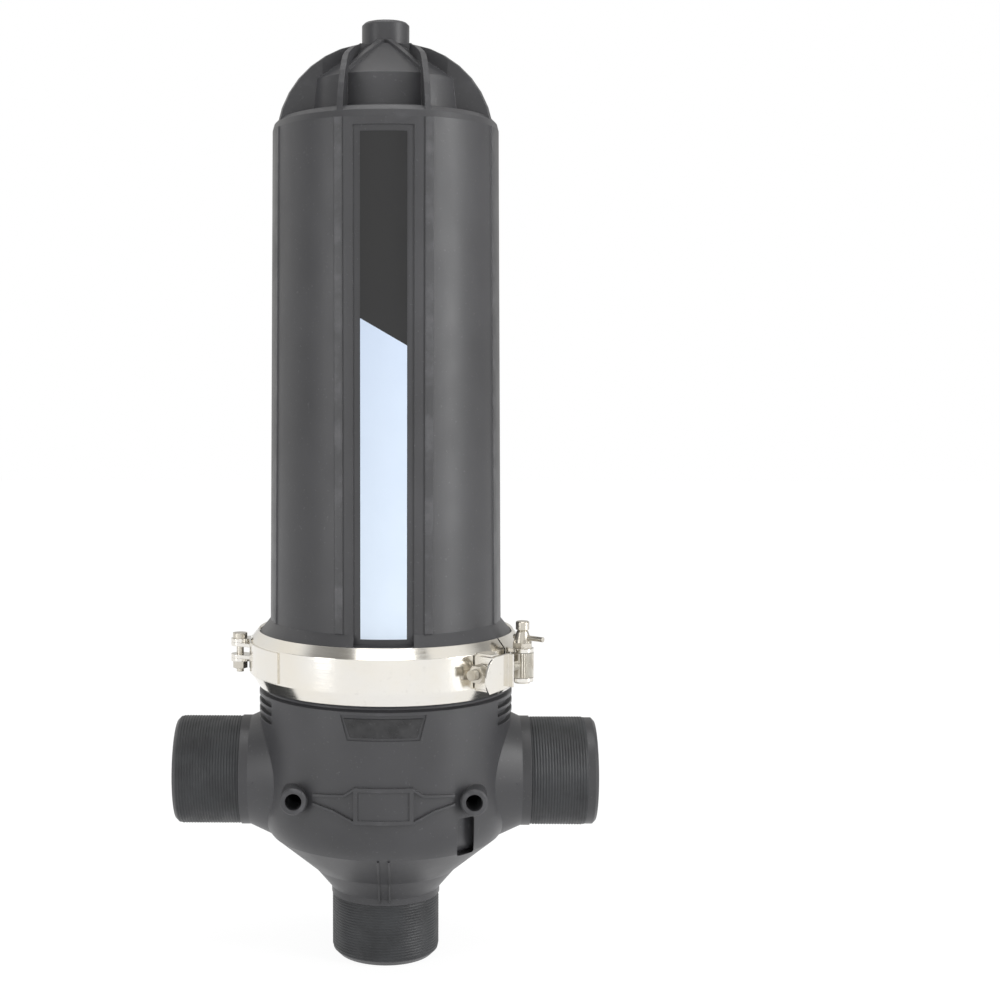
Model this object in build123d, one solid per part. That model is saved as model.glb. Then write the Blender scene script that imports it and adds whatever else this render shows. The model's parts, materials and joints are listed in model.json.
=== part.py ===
from build123d import *
import math
import os

os.makedirs("parts", exist_ok=True)

# Driving dimensions, mm. Z = 0 is the end of the bottom port, X runs along the side ports,
# the front of the filter faces -Y.
height = 767.0
fit = 0.3
far = 200.0

# Ports
port_r = 43.94
port_bore_r = 37.0
port_chamfer = 4.0
bottom_thread_len = 50.5
neck_proud = 1.3
neck_len = 6.5
side_port_z = 154.0
side_port_end = 174.0
side_port_chamfer = 2.5
side_thread_len = 54.5
neck_root_r = 57.0
neck_root_x = 86.0
neck_root_len = 26.0

# Body
body_r = 105.0
body_wall = 8.0
cone_r = 60.0
cone_rise = 17.6
crease_in = 9.0
crease_rise = 29.9
bowl_rise = 25.5
tube_bore_r = 50.0
tube_wall = 11.0
seat_wall = 5.0
seat_z = 178.0
seat_depth = 28.0

# Flange joint and band clamp
flange_z = 253.0
flange_step = 4.4
rim_drop = 29.0
groove_in = 3.5
band_t = 2.0
band_gap = 0.3
band_side = 0.6
band_drop = 13.5
band_rise = 13.3
lip_in = 6.5
lip_drop = 10.5
lip_rise = 8.0
oring_inset = 5.5
oring_w = 4.4
oring_h = 4.0
oring_play = 0.4

# Cover, counted down from its top
cover_in = 9.5
cover_draft = 3.7
cover_wall = 5.3
boss_r = 19.2
boss_h = 19.0
boss_chamfer = 2.0
vent_r = 12.1
crown_cone_h = 30.0
crown_h = 28.0
crown_r = 66.0
crown_wall = 5.0
roof_t = 6.0
shoulder_soft = 10.0
dome_r = 79.7
dome_reach = 0.4
rib_t = 4.8
rib_x_low = 35.0
rib_x_high = 30.2
knee_y = 50.0
spoke_w = 4.0
spoke_proud = 2.8
strip_w = 6.5
strip_proud = 0.9
label_w = 36.0
label_low = 5.7
label_high = 21.5
recess_w = 46.9
recess_over = 5.0
recess_depth = 1.0
label_t = 0.6

# Front details of the body
gauge_x = 70.9
gauge_z = 150.5
gauge_r = 10.8
gauge_hole_r = 6.6
gauge_chamfer = 1.2
gauge_sink = 12.0
gauge_bore_len = 34.8
plate_w = 47.0
plate_h = 29.0
plate_rim = 3.4
plate_proud = 2.2
brace_t = 2.2
brace_knee_x = 31.0
brace_end_x = 56.0
brace_high = 6.4
brace_low = 0.6
fin_x0 = 80.0
fin_x1 = 108.0
fin_proud = 2.4
badge_drop = 12.5
badge_h = 19.6
badge_w_high = 67.0
badge_w_low = 57.0
badge_rim = 2.4
slot_x = 64.5
slot_w = 13.4
slot_h = 34.0
slot_drop = 31.5
slot_depth = 7.5
slot_pad = 6.0

# Hinge on the left
hinge_out = 9.5
hinge_pin_r = 3.0
hinge_ear_r = 7.5
hinge_ear_t = 3.0
hinge_drop = 7.0
hinge_rise = 6.0
strap_t = 1.4
strap_az = 38.0

# Closure on the right: the bolt lies on a tangent, closure_az is the foot of that tangent
closure_az = -40.0
gap_az = 9.0
half_gap_az = 0.65
bolt_out = 6.0
bolt_r = 4.0
bolt_end_t = -36.0
pivot_t = 31.0
eye_r = 9.0
eye_h = 20.0
pivot_pin_r = 4.0
ear_t = 3.0
lug_t0 = -20.0
lug_t = 8.0
lug_reach = 8.6
lug_slot_w = 9.0
lug_half_h = 15.0
saddle_t = 1.6
saddle_gap = 0.4
cheek_t0 = -29.5
cheek_t1 = -0.5
nut_af = 13.0
nut_h = 6.0
washer_t = 1.6
washer_r = 7.6
thread_play = 0.08
cross_pin_r = 2.0
cross_pin_z = 21.8

# Cartridge
base_wall = 10.0
base_play = 0.15
base_seal_h = 2.5
tray_r = 77.0
tray_h = 27.5
tray_t = 3.0
disc_r = 60.0
disc_bore_r = 46.0
disc_packs = 5
disc_low_gap = 0.3
cap_room = 76.2
column_r = 4.0
column_circle_r = 39.5
column_count = 6
press_r = 61.0
press_t = 8.5
hub_h = 18.0
lift = 8.0
collar_bore_r = 47.5
collar_wall = 5.0
collar_h = 40.0
cap_wall = 5.5
cap_h = 41.0
rod_r = 8.0
spring_r = 26.0
spring_wire_r = 2.2
spring_turns = 4


def turned(points):
    """Solid of revolution about Z from (radius, height) corners."""
    corners = [(r, 0, z) for r, z in points]
    return revolve(make_face(Polyline(*corners, close=True)), Axis.Z)


def turned_with_arc(low_points, middle, high_points):
    """Same, with a round stretch through middle between the last low and the first high corner."""
    low = [(r, 0, z) for r, z in low_points]
    high = [(r, 0, z) for r, z in high_points]
    arc = ThreePointArc(low[-1], (middle[0], 0, middle[1]), high[0])
    return revolve(make_face([Polyline(*low), arc, Polyline(*high, low[0])]), Axis.Z)


def round_steps(centre, radius, low, high, steps):
    """Corners (radius, height) on an arc from one angle to another, in equal steps."""
    angles = [math.radians(low + (high - low) * k / steps) for k in range(steps + 1)]
    return [(centre[0] + radius * math.cos(a), centre[1] + radius * math.sin(a)) for a in angles]


def ring(r_out, r_in, z0, z1):
    return turned([(r_in, z0), (r_out, z0), (r_out, z1), (r_in, z1)])


def rod(r, z0, z1):
    return Pos(0, 0, (z0 + z1) / 2) * Cylinder(r, z1 - z0)


def block(x0, x1, y0, y1, z0, z1):
    return Pos((x0 + x1) / 2, (y0 + y1) / 2, (z0 + z1) / 2) * Box(x1 - x0, y1 - y0, z1 - z0)


def upright(p, q, thick, z0, z1):
    """Upright plate over the plan line from p to q."""
    run = math.hypot(q[0] - p[0], q[1] - p[1])
    turn = math.degrees(math.atan2(q[1] - p[1], q[0] - p[0]))
    return Pos((p[0] + q[0]) / 2, (p[1] + q[1]) / 2, (z0 + z1) / 2) * Rot(0, 0, turn) * Box(run, thick, z1 - z0)


def side_tube(r, x0, x1):
    """Cylinder along X at the height of the side ports."""
    return Pos(x0, 0, side_port_z) * Rot(0, 90, 0) * Cylinder(
        r, x1 - x0, align=(Align.CENTER, Align.CENTER, Align.MIN))


def front_tube(r, x, z, y0, y1):
    """Cylinder along Y, from y0 at the front to y1."""
    return Pos(x, y0, z) * Rot(-90, 0, 0) * Cylinder(r, y1 - y0, align=(Align.CENTER, Align.CENTER, Align.MIN))


def sector(az0, az1, z0, z1):
    """Wedge of space about Z between two azimuths."""
    mid = (az0 + az1) / 2
    half = math.radians(az1 - az0) / 2
    reach = far / math.cos(half)
    wedge = Polygon((0, 0), (reach * math.cos(half), -reach * math.sin(half)),
                    (reach * math.cos(half), reach * math.sin(half)), align=None)
    return Rot(0, 0, mid) * (Pos(0, 0, z0) * extrude(wedge, z1 - z0))


def front_prism(points):
    """Prism toward the front (-Y) over an outline given as (x, height) corners."""
    outline = Plane.XZ * Polygon(*points, align=None)
    return extrude(outline, far, both=True) & block(-far, far, -far, -body_r / 4, 0, height)


def cover_r(z):
    """Outer radius of the drafted cover wall at a height."""
    return cover_r_low - cover_draft * (z - flare_z) / (strip_top_z - flare_z)


# Radii and heights that follow from the driving dimensions
neck_r = port_r + neck_proud
neck_top_z = bottom_thread_len + neck_len
cone_z = neck_top_z + cone_rise
crease_r = body_r - crease_in
crease_z = cone_z + crease_rise
bowl_top_z = crease_z + bowl_rise
chamber_r = body_r - body_wall
tube_r = tube_bore_r + tube_wall
seat_r = tube_r - seat_wall
body_rim_z = flange_z - rim_drop
groove_r = body_r - groove_in
flange_r = body_r + flange_step
band_r = flange_r + band_side + band_t
band_low_z = flange_z - band_drop
band_high_z = flange_z + band_rise
lip_low = (band_r - lip_in, band_low_z - lip_drop)
lip_high = (band_r - lip_in, band_high_z + lip_rise)
boss_foot_z = height - boss_h
crown_z = boss_foot_z - crown_cone_h
shoulder_z = crown_z - crown_h
roof_z = shoulder_z - roof_t
strip_top_z = shoulder_z - shoulder_soft
cover_r_low = body_r - cover_in
cover_r_high = cover_r_low - cover_draft

# Section lines of the band clamp, shared by the two flanges
low_dir = Vector(band_r - lip_low[0], band_low_z - lip_low[1]).normalized()
high_dir = Vector(lip_high[0] - band_r, lip_high[1] - band_high_z).normalized()


def low_line(depth, r):
    """Height of the lower lip's line, moved inward by depth, at radius r."""
    x0 = lip_low[0] - low_dir.Y * depth
    z0 = lip_low[1] + low_dir.X * depth
    return z0 + (r - x0) * low_dir.Y / low_dir.X


def high_line(depth, r):
    """Height of the upper lip's line, moved inward by depth, at radius r."""
    x0 = lip_high[0] - high_dir.Y * depth
    z0 = lip_high[1] + high_dir.X * depth
    return z0 + (r - x0) * high_dir.Y / high_dir.X


# Body: a bowl on a cone, with the bottom port, two side necks and the clamp flange
flange_low_z = low_line(band_t + band_gap, flange_r)
groove_z = low_line(band_t + band_gap, groove_r)
bowl_arc_r = (crease_in ** 2 + bowl_rise ** 2) / (2 * crease_in)
half_turn = math.asin(bowl_rise / bowl_arc_r) / 2
bowl_middle = (body_r - bowl_arc_r + bowl_arc_r * math.cos(half_turn), bowl_top_z - bowl_arc_r * math.sin(half_turn))
port_profile = [(0, 0), (port_r - port_chamfer, 0), (port_r, port_chamfer), (port_r, bottom_thread_len),
                (neck_r, bottom_thread_len + neck_proud), (neck_r, neck_top_z), (cone_r, cone_z),
                (crease_r, crease_z)]
wall_profile = [(body_r, bowl_top_z), (body_r, body_rim_z), (groove_r, body_rim_z + 1.5), (groove_r, groove_z),
                (flange_r, flange_low_z), (flange_r, flange_z), (0, flange_z)]
body_outer = turned_with_arc(port_profile, bowl_middle, wall_profile)

necks = Part()
for side in (0, 180):
    root = Pos(neck_root_x, 0, side_port_z) * Rot(0, 90, 0) * Cone(
        neck_root_r, neck_r, neck_root_len, align=(Align.CENTER, Align.CENTER, Align.MIN))
    neck = side_tube(neck_r, tube_r, side_port_end - side_thread_len)
    spigot = side_tube(port_r, side_port_end - side_thread_len - 1, side_port_end)
    spigot = chamfer(spigot.edges().sort_by(Axis.X)[-1], side_port_chamfer)
    necks += Rot(0, 0, side) * (root + neck + spigot)
body_outer = body_outer + necks

# Gauge bosses, the name plate between them, the braces that tie the two, and a fin out to each neck
gauge_face_y = -(body_r - gauge_sink)
plate_low_z = gauge_z - plate_h / 2
plate_high_z = gauge_z + plate_h / 2
plate_shell = ring(body_r + plate_proud, chamber_r + 3, crease_z, body_rim_z)
front = plate_shell & block(-plate_w / 2, plate_w / 2, -far, 0, plate_low_z, plate_high_z)
for side in (-1, 1):
    boss = front_tube(gauge_r, side * gauge_x, gauge_z, gauge_face_y, gauge_face_y + 40)
    front += chamfer(boss.edges().sort_by(Axis.Y)[0], gauge_chamfer)
    edge_x = side * (plate_w / 2 - 1)
    knee_x = side * brace_knee_x
    end_x = side * brace_end_x
    high = [(edge_x, plate_high_z), (knee_x, gauge_z + brace_high + brace_t), (end_x, gauge_z + brace_high),
            (end_x, gauge_z + brace_high - brace_t), (knee_x, gauge_z + brace_high), (edge_x, plate_high_z - brace_t)]
    low = [(edge_x, plate_low_z + brace_t), (knee_x + side * 9, gauge_z - brace_high + brace_t),
           (end_x, gauge_z - brace_low), (end_x, gauge_z - brace_low - brace_t),
           (knee_x + side * 9, gauge_z - brace_high), (edge_x, plate_low_z)]
    front += plate_shell & front_prism(high)
    front += plate_shell & front_prism(low)
    fin = [(side * fin_x0, side_port_z - 3.5), (side * fin_x0, side_port_z + 5), (side * fin_x1, side_port_z + 0.8),
           (side * fin_x1, side_port_z - 0.6)]
    front += front_prism(fin) & side_tube(neck_r + fin_proud, -fin_x1, fin_x1)

# Two mould ridges on the front of the cone
ridge_bound = turned([(port_r - 4, neck_top_z - 3), (neck_r + 0.9, neck_top_z - 3), (cone_r + 0.7, cone_z - 0.8),
                      (crease_r + 0.7, crease_z - 0.8), (port_r - 4, crease_z - 0.8)])
for x in (-4.5, 4.0):
    front += ridge_bound & block(x - 0.8, x + 0.8, -far, 0, 0, crease_z)
body_solid = body_outer + front

# Openings of the body: ring chamber, clean-water tube and seat of the cartridge
slope = math.atan2(crease_z - cone_z, crease_r - cone_r)


def chamber_floor(r):
    return cone_z + body_wall / math.cos(slope) + (r - cone_r) * math.tan(slope)


tray_z = seat_z + seat_depth
chamber = turned([(tube_r, chamber_floor(tube_r)), (crease_r - body_wall, chamber_floor(crease_r - body_wall)),
                  (chamber_r, bowl_top_z), (chamber_r, flange_z + 1), (0, flange_z + 1), (0, tray_z),
                  (tube_r, tray_z)])
slot_z = gauge_z - slot_drop
pad = block(slot_x - slot_w / 2 - 5, slot_x + slot_w / 2 + 5, -far, 0, slot_z - slot_h / 2 - 5, slot_z + slot_h / 2 + 5)
pad = pad - ring(crease_r - body_wall - slot_pad, 0.001, 0, height)
chamber = chamber - pad
tube_bore = turned([(0, -1), (port_bore_r, -1), (port_bore_r, neck_top_z + 5), (tube_bore_r, cone_z + 9),
                    (tube_bore_r, seat_z), (seat_r, seat_z), (seat_r, tray_z + 1), (0, tray_z + 1)])
oring_r = chamber_r + oring_inset
oring_low_z = flange_z - oring_h
body_solid -= chamber
body_solid -= tube_bore
body_solid -= ring(oring_r + oring_w / 2 + oring_play, oring_r - oring_w / 2 - oring_play, oring_low_z, flange_z + 1)
for side in (0, 180):
    body_solid -= Rot(0, 0, side) * side_tube(port_bore_r, tube_r + 19, side_port_end + 1)
for side in (-1, 1):
    body_solid -= front_tube(gauge_hole_r, side * gauge_x, gauge_z, gauge_face_y - 1, gauge_face_y + gauge_bore_len)

# Stacked pockets above the side ports, with thin fins between them
pocket_pitch = 7.0
pocket_h = 4.4
for side in (0, 180):
    for k in range(3):
        z = body_rim_z - 5.0 - pocket_pitch * k
        pocket = ring(body_r + 4, body_r - 4, z - pocket_h / 2, z + pocket_h / 2)
        body_solid -= pocket & sector(side - 30, side + 30, z - pocket_h, z + pocket_h)

# Sunk face of the name plate, sunk badge field, and the slot under the right gauge boss
body_solid -= ring(body_r + 5, body_r + plate_proud - 1, plate_low_z + plate_rim, plate_high_z - plate_rim) & block(
    -plate_w / 2 + plate_rim, plate_w / 2 - plate_rim, -far, 0, plate_low_z, plate_high_z)
badge_z = body_rim_z - badge_drop


def badge_outline(inset):
    """Corners of the badge's trapezium, moved inward by inset."""
    high = badge_w_high / 2 - inset
    low = badge_w_low / 2 - inset
    top = badge_z + badge_h / 2 - inset
    foot = badge_z - badge_h / 2 + inset
    return [(-high, top), (high, top), (low, foot), (-low, foot)]


badge_shell = ring(body_r + 3, body_r - recess_depth, badge_z - badge_h, badge_z + badge_h)
body_solid -= badge_shell & front_prism(badge_outline(0))
slot = Pos(slot_x, -body_r, slot_z) * Rot(90, 0, 0) * extrude(RectangleRounded(slot_w, slot_h, 2.0), 80, both=True)
slot_core = turned_with_arc([(0, 0), (port_r, 0), (cone_r - slot_depth, cone_z), (crease_r - slot_depth, crease_z)],
                            (bowl_middle[0] - slot_depth, bowl_middle[1]),
                            [(body_r - slot_depth, bowl_top_z), (body_r - slot_depth, flange_z), (0, flange_z)])
body_solid -= (slot - slot_core) & block(0, far, -far, 0, 0, flange_z)
export_step(body_solid, "parts/body.step")

badge_sheet = ring(body_r - 0.1, body_r - recess_depth + fit, badge_z - badge_h, badge_z + badge_h)
export_step(badge_sheet & front_prism(badge_outline(badge_rim)), "parts/badge_plate.step")

# Cover: a drafted pot with a clamp flange, a stepped crown, and eight ribs over a dome line
flange_high_z = high_line(band_t + band_gap, flange_r)
flare_z = high_line(band_t + band_gap, cover_r_low)
shoulder_r = cover_r_high - shoulder_soft
rounding = round_steps((shoulder_r, strip_top_z), shoulder_soft, 0, 90, 3)
cover_shell = turned(
    [(0, flange_z), (flange_r, flange_z), (flange_r, flange_high_z), (cover_r_low, flare_z)] + rounding
    + [(crown_r, shoulder_z), (crown_r - 3, crown_z), (boss_r + 2, boss_foot_z), (0, boss_foot_z)])
cover_boss = chamfer(rod(boss_r, boss_foot_z - 8, height).edges().sort_by(Axis.Z)[-1], boss_chamfer)

dome_c = cover_r_high + dome_reach - dome_r
dome_top = (boss_r - 2, boss_foot_z + 0.5)
dome_end = math.degrees(math.acos((dome_top[0] - dome_c) / dome_r))
dome_z = dome_top[1] - dome_r * math.sin(math.radians(dome_end))
dome = turned([(0, dome_z)] + round_steps((dome_c, dome_z), dome_r, 0, dome_end, 9) + [(0, dome_top[1])])
ribs = Part()
spokes = Part()
for quarter in (0, 90, 180, 270):
    for side in (-1, 1):
        foot = (side * rib_x_low, -cover_r_high - 4)
        knee = (side * rib_x_high, -knee_y)
        top = (side * (boss_r - 3), -rib_t)
        rib = upright(foot, knee, rib_t, dome_z, height) + upright(knee, top, rib_t, dome_z, height)
        rib += Pos(*knee) * rod(rib_t / 2, dome_z, height)
        ribs += Rot(0, 0, quarter) * rib
        spokes += Rot(0, 0, quarter) * upright((0, -boss_r + 3), (knee[0], knee[1] - 3), spoke_w, crown_z - 12, height)
ribs = ribs & dome
spoke_bound = turned([(0, crown_z - 12), (crown_r - 2, crown_z - 12), (crown_r - 2, crown_z + spoke_proud),
                      (boss_r + 2, boss_foot_z + spoke_proud), (0, boss_foot_z + spoke_proud)])
spokes = spokes & spoke_bound
strip_bound = turned([(cover_r_high - 8, flare_z), (cover_r_low + strip_proud, flare_z),
                      (cover_r_high + strip_proud, strip_top_z), (cover_r_high - 8, strip_top_z)])
strips = Part()
for quarter in (0, 90, 180, 270):
    for side in (-1, 1):
        strips += Rot(0, 0, quarter) * block(side * rib_x_low - strip_w / 2, side * rib_x_low + strip_w / 2, -far, 0,
                                             flare_z, strip_top_z)
strips = strips & strip_bound
cover = cover_shell + cover_boss + ribs + spokes + strips

cavity_r_low = cover_r_low - cover_wall
cavity_r_high = cover_r_high - cover_wall
cavity = turned([(0, flange_z - 1), (cavity_r_low, flange_z - 1), (cavity_r_low, flare_z),
                 (cavity_r_high, roof_z - 3), (cavity_r_high - 3, roof_z), (crown_r - crown_wall, roof_z),
                 (crown_r - crown_wall - 0.5, crown_z - 4.5), (vent_r, boss_foot_z - 6), (0, boss_foot_z - 6)])
cover -= cavity
cover -= rod(vent_r, boss_foot_z - 10, height + 1)


def front_field(depth_low, depth_high, width, z0, z1):
    """Sheet on the cover's front between two depths below its surface, both following the draft."""
    sheet = turned([(cover_r(z0) - depth_low, z0), (cover_r(z0) - depth_high, z0),
                    (cover_r(z1) - depth_high, z1), (cover_r(z1) - depth_low, z1)])
    return sheet & block(-width / 2, width / 2, -far, 0, z0, z1)


label_low_z = flange_high_z + label_low + lip_rise
label_high_z = shoulder_z - label_high
cover -= front_field(recess_depth, -flange_step - 20, recess_w, label_low_z - recess_over, label_high_z + recess_over)
export_step(cover, "parts/cover.step")
label_back = recess_depth - fit
export_step(front_field(label_back, label_back - label_t, label_w, label_low_z, label_high_z),
            "parts/cover_label.step")
export_step(ring(oring_r + oring_w / 2, oring_r - oring_w / 2, oring_low_z, flange_z), "parts/cover_oring.step")

# Band clamp in two halves, with a narrow gap at the hinge and one beside the bolt
inner_r = band_r - band_t
band = turned([lip_low, (band_r, band_low_z), (band_r, band_high_z), lip_high,
               (lip_high[0] - high_dir.Y * band_t, lip_high[1] + high_dir.X * band_t),
               (inner_r, high_line(band_t, inner_r)), (inner_r, low_line(band_t, inner_r)),
               (lip_low[0] - low_dir.Y * band_t, lip_low[1] + low_dir.X * band_t)])
gap_mid = closure_az + gap_az
front_half = band & sector(182, 270, 0, height)
front_half += band & sector(270, 360 + gap_mid - half_gap_az, 0, height)
rear_half = band & sector(gap_mid + half_gap_az, 70, 0, height)
rear_half += band & sector(70, 178, 0, height)
export_step(front_half, "parts/clamp_front_half.step")
export_step(rear_half, "parts/clamp_rear_half.step")

hinge_x = -(band_r + hinge_out)
hinge_low_z = flange_z - hinge_drop
hinge_high_z = flange_z + hinge_rise


def hinge_ears(side, z_pair):
    """Strap with two ears for one clamp half; side is -1 for the front half and 1 for the rear half."""
    near_az = 180 - side * 4
    far_az = 180 - side * (4 + strap_az)
    leaf = ring(band_r + strap_t, band_r, band_low_z + 1, band_high_z - 1) & sector(
        min(near_az, far_az), max(near_az, far_az), 0, height)
    for z in z_pair:
        root_x = -(band_r - 17)
        pad = Polygon((hinge_x, -side * hinge_ear_r), (hinge_x, side * hinge_ear_r), (root_x, side * 24),
                      (root_x, side * 3), align=None)
        plate = Pos(0, 0, z) * extrude(pad, hinge_ear_t, dir=(0, 0, 1))
        plate += Pos(hinge_x, 0, 0) * rod(hinge_ear_r, z, z + hinge_ear_t)
        plate -= Pos(hinge_x, 0, 0) * rod(hinge_pin_r, z - 1, z + hinge_ear_t + 1)
        leaf += plate - rod(band_r, z - 1, z + hinge_ear_t + 1)
    return leaf


export_step(hinge_ears(-1, (hinge_low_z + hinge_ear_t, hinge_high_z)), "parts/hinge_ears_front.step")
export_step(hinge_ears(1, (hinge_low_z, hinge_high_z + hinge_ear_t)), "parts/hinge_ears_rear.step")
hinge_top_z = hinge_high_z + 2 * hinge_ear_t
hinge_nut_h = 6.0
hinge_pin = rod(hinge_pin_r, hinge_low_z - hinge_nut_h - 3, hinge_top_z) + rod(
    2 * hinge_pin_r, hinge_top_z, hinge_top_z + 4.5)
export_step(Pos(hinge_x, 0, 0) * hinge_pin, "parts/hinge_pin.step")
hinge_nut = Pos(0, 0, hinge_low_z - hinge_nut_h) * extrude(
    RegularPolygon(2 * hinge_pin_r, 6, major_radius=True), hinge_nut_h)
hinge_nut -= rod(hinge_pin_r, hinge_low_z - hinge_nut_h - 1, hinge_low_z + 1)
export_step(Pos(hinge_x, 0, 0) * hinge_nut, "parts/hinge_nut.step")

# Closure, built in its own frame: X outward, Y along the bolt toward the pivot
bolt_line_r = band_r + bolt_out
bolt_z = flange_z
closure = Rot(0, 0, closure_az) * Pos(bolt_line_r, 0, 0)
band_space = closure.inverse() * rod(band_r, 0, height)


def along_bolt(r, t0, t1):
    return Pos(0, t0, bolt_z) * Rot(-90, 0, 0) * Cylinder(r, t1 - t0, align=(Align.CENTER, Align.CENTER, Align.MIN))


lug_z0 = bolt_z - lug_half_h
lug_z1 = bolt_z + lug_half_h
lug_t1 = lug_t0 + lug_t
lug = block(-12, lug_reach, lug_t0, lug_t1, lug_z0, lug_z1)
for z in (lug_z0, lug_z1 - 3):
    lug += block(-12, lug_reach - 6, lug_t1 - 0.01, lug_t1 + 5, z, z + 3)
lug -= block(-lug_slot_w / 2, lug_reach + 1, lug_t0 - 1, lug_t1 + 1, bolt_z - lug_slot_w / 2, bolt_z + lug_slot_w / 2)
lug -= along_bolt(lug_slot_w / 2, lug_t0 - 1, lug_t1 + 1)
export_step(closure * (lug - band_space), "parts/front_lug.step")

ear_gap = eye_h / 2 + fit
ear_low_z = bolt_z - ear_gap - ear_t
ear_top_z = bolt_z + ear_gap + ear_t
rear_ears = Part()
for z in (bolt_z + ear_gap, ear_low_z):
    pad = Polygon((-14, pivot_t - 7), (0, pivot_t - eye_r), (0, pivot_t + eye_r), (-24, pivot_t + 22),
                  (-30, pivot_t + 8), align=None)
    plate = Pos(0, 0, z) * extrude(pad, ear_t, dir=(0, 0, 1))
    plate += Pos(0, pivot_t, 0) * rod(eye_r, z, z + ear_t)
    plate -= Pos(0, pivot_t, 0) * rod(pivot_pin_r, z - 1, z + ear_t + 1)
    rear_ears += closure * (plate - band_space)
export_step(rear_ears, "parts/rear_ears.step")

pivot_nut_h = 4.5
pin_cone_z = ear_top_z + pivot_nut_h
pin_neck_z = pin_cone_z + 9.5
pin_top_z = pin_neck_z + 7.5
pivot_pin = turned([(0, ear_low_z - 1.6), (pivot_pin_r + 2.2, ear_low_z - 1.6), (pivot_pin_r + 2.2, ear_low_z),
                    (pivot_pin_r, ear_low_z), (pivot_pin_r, pin_cone_z), (pivot_pin_r + 3.4, pin_cone_z),
                    (pivot_pin_r + 0.8, pin_neck_z - 1), (pivot_pin_r, pin_neck_z), (pivot_pin_r + 1.4, pin_neck_z + 1),
                    (pivot_pin_r + 1.4, pin_top_z - 0.8), (pivot_pin_r + 0.6, pin_top_z), (0, pin_top_z)])
cross_pin = Pos(0, 0, bolt_z + cross_pin_z) * Rot(0, 90, 0) * Cylinder(cross_pin_r, 28)
pivot = closure * Pos(0, pivot_t, 0)
export_step(pivot * (pivot_pin - cross_pin), "parts/pivot_pin.step")
export_step(pivot * (Pos(6, 0, 0) * cross_pin), "parts/pivot_cross_pin.step")
pivot_nut = extrude(RegularPolygon(eye_r - 0.6, 6, major_radius=True), pivot_nut_h) - Cylinder(pivot_pin_r, 40)
export_step(pivot * Pos(0, 0, ear_top_z) * pivot_nut, "parts/pivot_nut.step")

swing = Pos(0, pivot_t, bolt_z) * Cylinder(eye_r, eye_h) + along_bolt(bolt_r, bolt_end_t, pivot_t - 6)
swing -= Pos(0, pivot_t, bolt_z) * Cylinder(pivot_pin_r + thread_play, 60)
export_step(closure * swing, "parts/swing_bolt.step")

saddle_face = lug_t0 - fit
cheek_x = lug_reach + saddle_gap
saddle = block(-7, cheek_x + saddle_t, saddle_face - saddle_t, saddle_face, lug_z0 + 2, lug_z1 - 2)
cheek_low = Line((0, cheek_t0 + 4, lug_z0), (0, cheek_t1, lug_z0 + 2))
cheek_side = Polyline((0, cheek_t1, lug_z0 + 2), (0, cheek_t1, lug_z1 - 1), (0, cheek_t0 + 11, lug_z1 - 1.5))
cheek_round = ThreePointArc((0, cheek_t0 + 11, lug_z1 - 1.5), (0, cheek_t0, bolt_z + 1), (0, cheek_t0 + 4, lug_z0))
cheek = extrude(make_face([cheek_low, cheek_side, cheek_round]), saddle_t, dir=(1, 0, 0))
saddle += Pos(cheek_x, 0, 0) * cheek
saddle += block(cheek_x, cheek_x + 6, cheek_t1 - saddle_t, cheek_t1, lug_z0 + 3, lug_z1 - 1)
saddle -= along_bolt(bolt_r + fit, saddle_face - 3, saddle_face + 1)
export_step(closure * saddle, "parts/bolt_saddle.step")

nut_face = saddle_face - saddle_t - fit
bolt_nut = Pos(0, nut_face - washer_t, bolt_z) * Rot(90, 0, 0) * extrude(
    RegularPolygon(nut_af / math.sqrt(3), 6), nut_h)
bolt_nut += along_bolt(washer_r, nut_face - washer_t, nut_face)
bolt_nut -= along_bolt(bolt_r + thread_play, nut_face - 30, nut_face + 10)
export_step(closure * bolt_nut, "parts/bolt_nut.step")

# Cartridge: base and tray in the body's seat, then the spine with the discs round it
base_z = seat_z + base_seal_h
base_r = seat_r - base_play
base_bore_r = seat_r - base_wall
export_step(ring(base_r, base_bore_r, base_z, tray_z), "parts/cartridge_base.step")
export_step(ring(base_r, tube_bore_r + 0.5, seat_z, base_z), "parts/base_seal.step")

tray_top_z = tray_z + tray_h
tray = ring(tray_r, base_bore_r, tray_z, tray_z + tray_t)
tray += ring(tray_r, tray_r - 4, tray_z, tray_top_z)
tray += ring(tray_r, base_bore_r, tray_top_z - tray_t, tray_top_z)
for k in range(12):
    window = Pos(tray_r - 2, 0, tray_z + tray_h / 2) * Rot(28, 0, 0) * Box(12, 16, tray_h - 12.5)
    tray -= Rot(0, 0, 30 * k) * window
for k in range(12):
    vane = Pos(tray_r - 9, 0, tray_z + tray_h / 2) * Rot(0, 0, 35) * Box(14, 2.0, tray_h - 4)
    tray += Rot(0, 0, 30 * k + 15) * vane
export_step(tray, "parts/tray_ring.step")

disc_z = tray_top_z + disc_low_gap
disc_top = shoulder_z - cap_room
pack = (disc_top - disc_z) / disc_packs
groove = 1.2
profile = [(disc_bore_r, disc_z)]
for k in range(disc_packs):
    z0 = disc_z + k * pack
    profile += [(disc_r, z0 + groove / 2 * (k > 0)), (disc_r, z0 + pack - groove / 2)]
    if k < disc_packs - 1:
        profile += [(disc_r - groove, z0 + pack)]
profile += [(disc_r - groove, disc_top), (disc_bore_r, disc_top)]
export_step(turned(profile), "parts/disc_stack.step")

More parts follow.
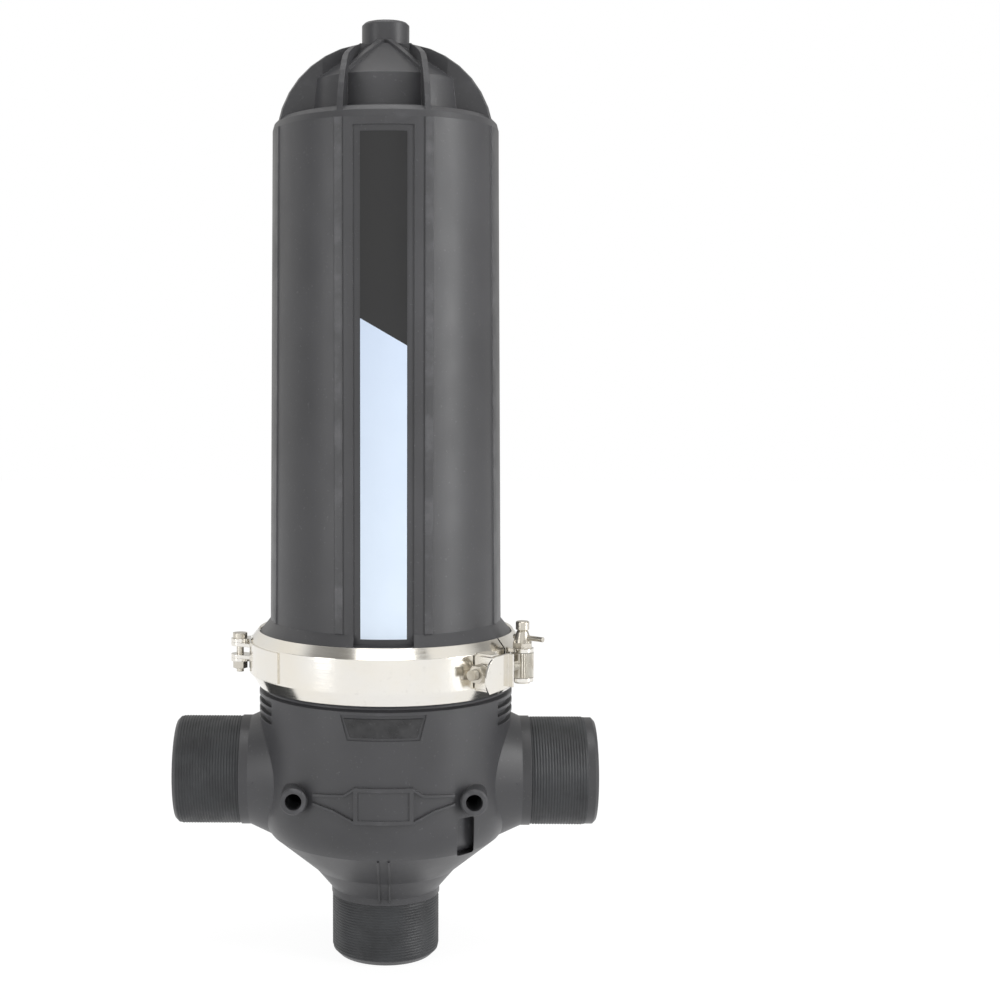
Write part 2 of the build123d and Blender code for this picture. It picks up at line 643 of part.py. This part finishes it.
column_in = column_circle_r - column_r
spine_top_z = disc_top - 5
spine = ring(base_bore_r, column_in - 4, base_z, base_z + 5)
spine += ring(disc_bore_r - 0.7, column_in - 4, spine_top_z - 7, spine_top_z) + rod(
    column_in - 2, spine_top_z - 7, spine_top_z)
for k in range(column_count):
    spine += Rot(0, 0, 360 / column_count * k) * (Pos(column_circle_r, 0, 0) * rod(column_r, base_z, spine_top_z))
spine += ring(column_circle_r - 2.5, column_in - 2.5, base_z + 16, base_z + 18)
spine -= rod(rod_r, spine_top_z - 10, disc_top)
export_step(spine, "parts/spine.step")

nozzle_rows = 4
nozzle_pitch = (spine_top_z - disc_z) / nozzle_rows
nozzles = []
for k in range(0, column_count, 2):
    for j in range(nozzle_rows):
        z = disc_z + nozzle_pitch * (j + 0.5)
        tip = Pos(column_circle_r, column_r - 0.3, z) * Rot(-90, 0, 0) * extrude(RegularPolygon(1.4, 6), 2.2)
        tip -= Pos(column_circle_r, 0, 0) * rod(column_r, z - 5, z + 5)
        nozzles += (Rot(0, 0, 360 / column_count * k) * tip).solids()
export_step(Compound(children=nozzles), "parts/flush_nozzles.step")

check_low_z = base_z + 5 + fit
export_step(ring(column_in - 1, 14, check_low_z, check_low_z + 4), "parts/check_ring.step")

press_z = disc_top + fit
hub_low_z = press_z + press_t
hub_top_z = hub_low_z + hub_h
piston_r = collar_bore_r - 0.5
seal_bore_r = collar_bore_r - 2.3
piston = ring(press_r, rod_r + thread_play, press_z, hub_low_z)
piston += ring(piston_r, rod_r + thread_play, hub_low_z - 1, hub_top_z)
piston -= ring(collar_bore_r, seal_bore_r, hub_top_z - 6, hub_top_z - 3)
export_step(piston, "parts/press_flange.step")
export_step(ring(collar_bore_r - 0.05, seal_bore_r, hub_top_z - 6, hub_top_z - 3), "parts/piston_seal.step")

collar_r = collar_bore_r + collar_wall
cap_r = collar_r + cap_wall
collar_z = hub_low_z + lift + 1
collar_top_z = collar_z + collar_h
cap_z = collar_top_z - 14
cap_top_z = cap_z + cap_h
export_step(ring(collar_r, collar_bore_r, collar_z, collar_top_z), "parts/collar.step")

cap = turned([(collar_r, cap_z), (cap_r, cap_z), (cap_r, cap_top_z - 14), (cap_r - 4, cap_top_z - 5),
              (cap_r - 11, cap_top_z), (rod_r, cap_top_z), (rod_r, cap_top_z - 5), (cap_r - 17, cap_top_z - 5),
              (collar_r - 2.5, cap_top_z - 12), (collar_r - 2.5, collar_top_z + 3), (collar_r, collar_top_z + 3)])
for k in range(12):
    cap -= Rot(0, 0, 30 * k) * (Pos(cap_r + 1, 0, cap_z + cap_h / 2 - 4) * Box(6, 16, cap_h - 16))
export_step(cap, "parts/cap_nut.step")
export_step(ring(collar_r, collar_bore_r + 0.5, collar_top_z, collar_top_z + 3), "parts/cap_seal.step")
export_step(rod(rod_r, spine_top_z - 7, cap_top_z) + rod(rod_r + 5, cap_top_z, cap_top_z + 5), "parts/tie_rod.step")

spring_height = cap_top_z - 5 - hub_top_z - 2 * spring_wire_r
helix = Helix(spring_height / spring_turns, spring_height, spring_r)
wire_face = Plane(helix @ 0, z_dir=helix % 0) * RegularPolygon(spring_wire_r, 6)
spring = Pos(0, 0, hub_top_z + spring_wire_r) * sweep(wire_face, path=helix)
export_step(spring, "parts/press_spring.step")
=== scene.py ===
import json
import math

import bpy
from mathutils import Matrix, Vector


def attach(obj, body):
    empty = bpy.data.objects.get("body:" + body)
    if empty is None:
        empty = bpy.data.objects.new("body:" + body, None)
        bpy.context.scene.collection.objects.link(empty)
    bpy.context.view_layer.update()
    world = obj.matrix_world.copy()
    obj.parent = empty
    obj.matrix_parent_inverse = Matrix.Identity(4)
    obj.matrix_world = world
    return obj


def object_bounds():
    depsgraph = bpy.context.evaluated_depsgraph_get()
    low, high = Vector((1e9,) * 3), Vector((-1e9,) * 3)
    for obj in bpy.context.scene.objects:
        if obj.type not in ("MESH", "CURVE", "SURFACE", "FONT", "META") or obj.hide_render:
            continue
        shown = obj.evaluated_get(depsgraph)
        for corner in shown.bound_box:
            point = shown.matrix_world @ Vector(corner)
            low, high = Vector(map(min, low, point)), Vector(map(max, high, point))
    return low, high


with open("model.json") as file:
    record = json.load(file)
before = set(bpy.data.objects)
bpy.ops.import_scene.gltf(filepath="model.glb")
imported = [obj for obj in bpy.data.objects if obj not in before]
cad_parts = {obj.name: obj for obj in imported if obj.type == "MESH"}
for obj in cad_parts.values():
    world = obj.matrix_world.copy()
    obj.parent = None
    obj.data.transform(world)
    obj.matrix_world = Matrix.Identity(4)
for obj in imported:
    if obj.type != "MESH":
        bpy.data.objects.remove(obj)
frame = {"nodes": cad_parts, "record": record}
cad_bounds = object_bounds()
NODES = frame["nodes"]

# Sizes repeated from the model, in metres
PORT_R = 0.04394
PORT_Z = 0.154
PORT_END = 0.174
PORT_THREAD = 0.0545
BOTTOM_THREAD = 0.0505
PIPE_PITCH = 0.002309


# ---------------------------------------------------------------- node helpers
class Tree:
    """Short hand for building one material's node tree."""

    def __init__(self, name):
        self.mat = bpy.data.materials.new(name)
        self.mat.use_nodes = True
        self.tree = self.mat.node_tree
        self.bsdf = self.tree.nodes["Principled BSDF"]
        self.coords = self.tree.nodes.new("ShaderNodeTexCoord").outputs["Object"]

    def node(self, kind, **inputs):
        made = self.tree.nodes.new(kind)
        for key, value in inputs.items():
            self.put(made.inputs[key.replace("_", " ")], value)
        return made

    def put(self, socket, value):
        if isinstance(value, bpy.types.NodeSocket):
            self.tree.links.new(value, socket)
        else:
            socket.default_value = value

    def noise(self, scale, detail=4.0, rough=0.55, vector=None):
        made = self.node("ShaderNodeTexNoise", Scale=scale, Detail=detail, Roughness=rough)
        self.put(made.inputs["Vector"], vector if vector is not None else self.coords)
        return made.outputs["Fac"]

    def stretched(self, x, y, z):
        made = self.node("ShaderNodeMapping", Vector=self.coords)
        made.inputs["Scale"].default_value = (x, y, z)
        return made.outputs["Vector"]

    def spread(self, value, low, high, to_low=0.0, to_high=1.0):
        made = self.node("ShaderNodeMapRange", Value=value)
        made.inputs["From Min"].default_value = low
        made.inputs["From Max"].default_value = high
        made.inputs["To Min"].default_value = to_low
        made.inputs["To Max"].default_value = to_high
        return made.outputs["Result"]

    def mix(self, fac, a, b):
        made = self.tree.nodes.new("ShaderNodeMix")
        made.data_type = "RGBA"
        self.put(made.inputs["Factor"], fac)
        self.put(made.inputs[6], a)
        self.put(made.inputs[7], b)
        return made.outputs[2]

    def math(self, op, a, b=0.0):
        made = self.tree.nodes.new("ShaderNodeMath")
        made.operation = op
        self.put(made.inputs[0], a)
        self.put(made.inputs[1], b)
        return made.outputs[0]

    def bump(self, height, strength, distance, under=None):
        made = self.node("ShaderNodeBump", Height=height, Strength=strength, Distance=distance)
        if under is not None:
            self.put(made.inputs["Normal"], under)
        return made.outputs["Normal"]

    def edge(self):
        geometry = self.tree.nodes.new("ShaderNodeNewGeometry")
        return self.spread(geometry.outputs["Pointiness"], 0.53, 0.60)

    def bevel(self, radius):
        made = self.node("ShaderNodeBevel", Radius=radius)
        made.samples = 4
        return made.outputs["Normal"]

    def finish(self, color, rough, normal=None, **fixed):
        self.put(self.bsdf.inputs["Base Color"], color)
        self.put(self.bsdf.inputs["Roughness"], rough)
        if normal is not None:
            self.put(self.bsdf.inputs["Normal"], normal)
        for key, value in fixed.items():
            self.bsdf.inputs[key.replace("_", " ")].default_value = value
        return self.mat


def rgba(r, g, b):
    return (r, g, b, 1.0)


def moulded(name, dark, light, rough_low, rough_high, grain=0.06):
    """Moulded plastic: slow tone drift, fine grain, rubbed edges, faint vertical flow lines."""
    t = Tree(name)
    drift = t.spread(t.noise(9.0, 3.0), 0.35, 0.65)
    color = t.mix(drift, dark, light)
    rub = t.math("MULTIPLY", t.edge(), t.spread(t.noise(60.0), 0.45, 0.7, 0.0, 0.55))
    worn = tuple(min(1.0, c * 2.1 + 0.02) for c in light[:3])
    color = t.mix(rub, color, rgba(*worn))
    dust = t.spread(t.noise(420.0, 2.0), 0.66, 0.74, 0.0, 0.22)
    color = t.mix(dust, color, rgba(0.17, 0.17, 0.175))
    rough = t.spread(t.noise(26.0, 5.0), 0.3, 0.7, rough_low, rough_high)
    normal = t.bump(t.noise(1500.0, 2.0), grain, 0.0006, t.bevel(0.0009))
    flow = t.noise(30.0, 3.0, 0.5, t.stretched(1.0, 1.0, 0.06))
    normal = t.bump(flow, 0.05, 0.002, normal)
    return t.finish(color, rough, normal, Specular_IOR_Level=0.5)


def metal(name, color, rough_low, rough_high, brush, stain=0.25):
    """Steel: brushed along the band, with faint stains and fine scratches."""
    t = Tree(name)
    cloud = t.spread(t.noise(22.0, 5.0), 0.35, 0.7)
    warm = rgba(color[0], color[1] * 0.975, color[2] * 0.92)
    tone = t.mix(cloud, rgba(*color), warm)
    spots = t.spread(t.noise(240.0, 3.0), 0.62, 0.72, 0.0, stain)
    tone = t.mix(spots, tone, rgba(color[0] * 0.55, color[1] * 0.52, color[2] * 0.48))
    lines = t.noise(90.0, 4.0, 0.6, t.stretched(0.5, 0.5, brush))
    rough = t.spread(lines, 0.3, 0.7, rough_low, rough_high)
    normal = t.bump(lines, 0.05, 0.0004, t.bevel(0.0006))
    dents = t.noise(16.0, 2.0)
    normal = t.bump(dents, 0.10, 0.0025, normal)
    return t.finish(tone, rough, normal, Metallic=1.0)


def label_film():
    """Bare two-tone strip: black above a slanted edge, pale blue below."""
    t = Tree("label_film")
    split = t.tree.nodes.new("ShaderNodeSeparateXYZ")
    t.put(split.inputs[0], t.coords)
    x, z = split.outputs[0], split.outputs[2]
    edge_z = t.math("MULTIPLY_ADD", x, -0.58)
    edge_z.node.inputs[2].default_value = 0.5167
    above = t.math("GREATER_THAN", z, edge_z)
    blue = t.mix(t.spread(z, 0.29, 0.52), rgba(0.66, 0.75, 0.86), rgba(0.57, 0.66, 0.80))
    blue = t.mix(t.spread(t.noise(35.0), 0.3, 0.7, 0.0, 0.12), blue, rgba(0.48, 0.57, 0.70))
    tone = t.mix(above, blue, rgba(0.012, 0.012, 0.013))
    rough = t.spread(t.noise(50.0), 0.3, 0.7, 0.28, 0.42)
    normal = t.bump(t.noise(300.0, 2.0), 0.03, 0.0004)
    return t.finish(tone, rough, normal)


def threads_plastic():
    t = Tree("thread_plastic")
    base = t.mix(t.spread(t.noise(40.0), 0.35, 0.65), rgba(0.016, 0.017, 0.019), rgba(0.032, 0.034, 0.037))
    # Thread crests (sharp ridges) are lightened to mid grey: a painted highlight where light catches the crests.
    crest_highlight = t.math("MULTIPLY", t.edge(), 0.35)
    color = t.mix(crest_highlight, base, rgba(0.11, 0.115, 0.12))
    rough = t.spread(t.noise(70.0), 0.3, 0.7, 0.42, 0.6)
    normal = t.bump(t.noise(900.0), 0.08, 0.0005)
    return t.finish(color, rough, normal)


def threaded_steel():
    """Plated bolt steel with a fine thread drawn across the bolt's own direction."""
    t = Tree("bolt_steel")
    cloud = t.spread(t.noise(70.0), 0.35, 0.7)
    tone = t.mix(cloud, rgba(0.60, 0.58, 0.52), rgba(0.44, 0.40, 0.33))
    split = t.tree.nodes.new("ShaderNodeSeparateXYZ")
    t.put(split.inputs[0], t.coords)
    along = t.math("ADD", t.math("MULTIPLY", split.outputs[0], -0.642788),
                   t.math("MULTIPLY", split.outputs[1], -0.766044))
    wave = t.math("SINE", t.math("MULTIPLY", along, 2 * math.pi / 0.00125))
    rough = t.spread(t.noise(160.0), 0.3, 0.7, 0.25, 0.42)
    normal = t.bump(wave, 0.6, 0.0004)
    return t.finish(tone, rough, normal, Metallic=1.0)


def rubber(name):
    t = Tree(name)
    color = t.mix(t.spread(t.noise(50.0), 0.3, 0.7), rgba(0.012, 0.012, 0.012), rgba(0.03, 0.03, 0.03))
    rough = t.spread(t.noise(120.0), 0.3, 0.7, 0.6, 0.8)
    return t.finish(color, rough, t.bump(t.noise(800.0), 0.1, 0.0004))


def disc_red():
    """Stacked grooved discs: fine horizontal lines with slightly uneven reds."""
    t = Tree("disc_red")
    bands = t.noise(40.0, 5.0, 0.7, t.stretched(0.15, 0.15, 9.0))
    color = t.mix(t.spread(bands, 0.3, 0.7), rgba(0.62, 0.03, 0.02), rgba(0.83, 0.07, 0.035))
    split = t.tree.nodes.new("ShaderNodeSeparateXYZ")
    t.put(split.inputs[0], t.coords)
    wave = t.math("SINE", t.math("MULTIPLY", split.outputs[2], 2 * math.pi / 0.0012))
    return t.finish(color, 0.45, t.bump(wave, 0.5, 0.0005))


MATS = {
    "black_plastic": moulded("charcoal_plastic", rgba(0.040, 0.040, 0.043), rgba(0.052, 0.052, 0.056), 0.36, 0.46),
    "cartridge_black": moulded("cartridge_plastic", rgba(0.022, 0.022, 0.026), rgba(0.032, 0.032, 0.036), 0.38, 0.5),
    "label_film": label_film(),
    "badge_black": moulded("badge_black", rgba(0.008, 0.008, 0.009), rgba(0.014, 0.014, 0.015), 0.2, 0.3, 0.02),
    "stainless": metal("polished_stainless", (0.80, 0.78, 0.74), 0.10, 0.19, 12.0, 0.12),
    "zinc_steel": metal("plated_steel", (0.62, 0.59, 0.53), 0.24, 0.38, 3.0, 0.5),
    "spring_steel": metal("spring_wire", (0.45, 0.45, 0.46), 0.25, 0.4, 3.0),
    "rubber": rubber("rubber_black"),
    "red_plastic": disc_red(),
}
THREAD = threads_plastic()
BOLT = threaded_steel()

slot_of = {part["node"]: part["material_slot"] for part in frame["record"]["subparts"]}
for name, node in NODES.items():
    node.data.materials.clear()
    node.data.materials.append(BOLT if name == "swing_bolt" else MATS[slot_of[name]])


# ---------------------------------------------------------------- pieces
def add_piece(name, verts, faces, mat, body, smooth=True):
    mesh = bpy.data.meshes.new(name)
    mesh.from_pydata(verts, [], faces)
    mesh.validate()
    mesh.update()
    for face in mesh.polygons:
        face.use_smooth = smooth
    piece = bpy.data.objects.new(name, mesh)
    bpy.context.scene.collection.objects.link(piece)
    mesh.materials.append(mat)
    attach(piece, body)
    return piece


def thread_sleeve(name, place, radius, depth, length, pitch, taper=0.0):
    """Closed sleeve whose outside is a screw thread; its axis is the local Z of place."""
    around, per_turn = 96, 6
    rows = int(length / pitch * per_turn)
    inner = radius - 0.0012
    verts, faces = [], []
    for j in range(rows + 1):
        z = length * j / rows
        fade = min(1.0, j / per_turn, (rows - j) / per_turn)
        for i in range(around):
            a = 2 * math.pi * i / around
            phase = (z / pitch - i / around) % 1.0
            ridge = 1.0 - abs(2.0 * phase - 1.0)
            r = radius - taper * z + depth * (0.15 + 0.85 * min(1.0, ridge * 1.25)) * fade
            verts.append(place @ Vector((r * math.cos(a), r * math.sin(a), z)))
    for z in (length, 0.0):
        for i in range(around):
            a = 2 * math.pi * i / around
            verts.append(place @ Vector((inner * math.cos(a), inner * math.sin(a), z)))
    for j in range(rows + 3):
        below, above = j * around, ((j + 1) % (rows + 3)) * around
        for i in range(around):
            k = (i + 1) % around
            faces.append((below + i, below + k, above + k, above + i))
    return add_piece(name, verts, faces, THREAD, "housing")


down = Matrix.Translation((0, 0, BOTTOM_THREAD)) @ Matrix.Rotation(math.pi, 4, "X")
thread_sleeve("thread_bottom", down, PORT_R, 0.0007, BOTTOM_THREAD - 0.0045, PIPE_PITCH)
start = PORT_END - PORT_THREAD
right = Matrix.Translation((start, 0, PORT_Z)) @ Matrix.Rotation(math.pi / 2, 4, "Y")
thread_sleeve("thread_right", right, PORT_R, 0.0007, PORT_THREAD - 0.0085, PIPE_PITCH)
left = Matrix.Translation((-start, 0, PORT_Z)) @ Matrix.Rotation(-math.pi / 2, 4, "Y")
thread_sleeve("thread_left", left, PORT_R, 0.0007, PORT_THREAD - 0.003, PIPE_PITCH)


# ---------------------------------------------------------------- stage, light, camera
def floor_and_world():
    mesh = bpy.data.meshes.new("floor")
    reach = 6.0
    mesh.from_pydata([(-reach, -reach, 0), (reach, -reach, 0), (reach, reach, 0), (-reach, reach, 0)], [],
                     [(0, 1, 2, 3)])
    floor = bpy.data.objects.new("floor", mesh)
    floor.location.z = cad_bounds[0][2] - 0.0004
    bpy.context.scene.collection.objects.link(floor)
    mat = bpy.data.materials.new("floor_white")
    mat.use_nodes = True
    tree = mat.node_tree
    tree.nodes.clear()
    out = tree.nodes.new("ShaderNodeOutputMaterial")
    mix = tree.nodes.new("ShaderNodeMixShader")
    diffuse = tree.nodes.new("ShaderNodeBsdfDiffuse")
    glow = tree.nodes.new("ShaderNodeEmission")
    path = tree.nodes.new("ShaderNodeLightPath")
    seen = tree.nodes.new("ShaderNodeMath")
    seen.operation = "MAXIMUM"
    share = tree.nodes.new("ShaderNodeMath")
    share.operation = "MULTIPLY"
    share.inputs[1].default_value = 0.82
    diffuse.inputs["Color"].default_value = rgba(0.86, 0.86, 0.86)
    glow.inputs["Color"].default_value = rgba(1.0, 1.0, 1.0)
    glow.inputs["Strength"].default_value = 1.12
    tree.links.new(path.outputs["Is Camera Ray"], seen.inputs[0])
    tree.links.new(path.outputs["Is Glossy Ray"], seen.inputs[1])
    tree.links.new(seen.outputs[0], share.inputs[0])
    tree.links.new(share.outputs[0], mix.inputs["Fac"])
    tree.links.new(diffuse.outputs[0], mix.inputs[1])
    tree.links.new(glow.outputs[0], mix.inputs[2])
    tree.links.new(mix.outputs[0], out.inputs["Surface"])
    mesh.materials.append(mat)

    world = bpy.data.worlds.new("studio")
    bpy.context.scene.world = world
    world.use_nodes = True
    tree = world.node_tree
    tree.nodes.clear()
    out = tree.nodes.new("ShaderNodeOutputWorld")
    coords = tree.nodes.new("ShaderNodeTexCoord")
    split = tree.nodes.new("ShaderNodeSeparateXYZ")
    tree.links.new(coords.outputs["Generated"], split.inputs[0])
    turn = tree.nodes.new("ShaderNodeMath")
    turn.operation = "ARCTAN2"
    flip = tree.nodes.new("ShaderNodeMath")
    flip.operation = "MULTIPLY"
    flip.inputs[1].default_value = -1.0
    tree.links.new(split.outputs[1], flip.inputs[0])
    tree.links.new(split.outputs[0], turn.inputs[0])
    tree.links.new(flip.outputs[0], turn.inputs[1])
    span = tree.nodes.new("ShaderNodeMapRange")
    span.inputs["From Min"].default_value = -math.pi
    span.inputs["From Max"].default_value = math.pi
    tree.links.new(turn.outputs[0], span.inputs["Value"])
    ramp = tree.nodes.new("ShaderNodeValToRGB")
    tree.links.new(span.outputs["Result"], ramp.inputs["Fac"])
    stops = ((-180, 0.55), (-150, 0.85), (-100, 1.0), (-88, 0.35), (-60, 0.25), (-32, 0.42), (-24, 1.0), (14, 1.0),
             (20, 0.50), (52, 0.62), (56, 0.12), (60, 1.0), (95, 1.0), (112, 0.30), (150, 0.75), (180, 0.55))
    points = ramp.color_ramp.elements
    points[0].position, points[1].position = 0.0, 1.0
    for angle, level in stops[1:-1]:
        points.new(angle / 360.0 + 0.5)
    for point, (angle, level) in zip(points, stops):
        point.color = rgba(level, level * 0.99, level * 0.965)
    path = tree.nodes.new("ShaderNodeLightPath")
    plain = tree.nodes.new("ShaderNodeBackground")
    plain.inputs["Color"].default_value = rgba(1.0, 1.0, 1.0)
    plain.inputs["Strength"].default_value = 0.55
    studio = tree.nodes.new("ShaderNodeBackground")
    tree.links.new(ramp.outputs["Color"], studio.inputs["Color"])
    white = tree.nodes.new("ShaderNodeBackground")
    white.inputs["Color"].default_value = rgba(1.0, 1.0, 1.0)
    first = tree.nodes.new("ShaderNodeMixShader")
    second = tree.nodes.new("ShaderNodeMixShader")
    tree.links.new(path.outputs["Is Glossy Ray"], first.inputs["Fac"])
    tree.links.new(plain.outputs[0], first.inputs[1])
    tree.links.new(studio.outputs[0], first.inputs[2])
    tree.links.new(path.outputs["Is Camera Ray"], second.inputs["Fac"])
    tree.links.new(first.outputs[0], second.inputs[1])
    tree.links.new(white.outputs[0], second.inputs[2])
    tree.links.new(second.outputs[0], out.inputs["Surface"])


def lamp(name, place, target, width, height, power, glossy=True):
    data = bpy.data.lights.new(name, "AREA")
    data.shape = "RECTANGLE"
    data.size, data.size_y, data.energy = width, height, power
    made = bpy.data.objects.new(name, data)
    made.location = place
    made.rotation_euler = (Vector(target) - Vector(place)).to_track_quat("-Z", "Y").to_euler()
    made.visible_glossy = glossy
    bpy.context.scene.collection.objects.link(made)


floor_and_world()
MIDDLE = (0.0, 0.0, 0.4)
lamp("key_right", (1.5, -0.7, 0.75), MIDDLE, 0.5, 1.5, 14.0)
lamp("fill_left", (-1.6, -1.3, 0.7), MIDDLE, 0.6, 1.4, 9.0)
lamp("front_low", (0.3, -2.0, 0.25), (0, 0, 0.15), 1.2, 0.5, 6.0, glossy=False)
lamp("top", (0.0, -0.3, 2.2), MIDDLE, 1.2, 1.2, 12.0)

LENS_PX = 1606.0
CAMERA_BACK = 1.326
CAMERA_TURN = math.radians(1.0)
CAMERA_HEIGHT = 0.4838
PITCH = math.radians(4.45)
data = bpy.data.cameras.new("camera")
data.sensor_width = 36.0
data.lens = 36.0 * LENS_PX / 1000.0
data.shift_x = 0.1143
camera = bpy.data.objects.new("camera", data)
camera.location = (CAMERA_BACK * math.sin(CAMERA_TURN), -CAMERA_BACK * math.cos(CAMERA_TURN), CAMERA_HEIGHT)
camera.rotation_euler = (math.pi / 2 - PITCH, 0.0, CAMERA_TURN)
bpy.context.scene.collection.objects.link(camera)
bpy.context.scene.camera = camera
bpy.context.scene.view_settings.view_transform = "Standard"
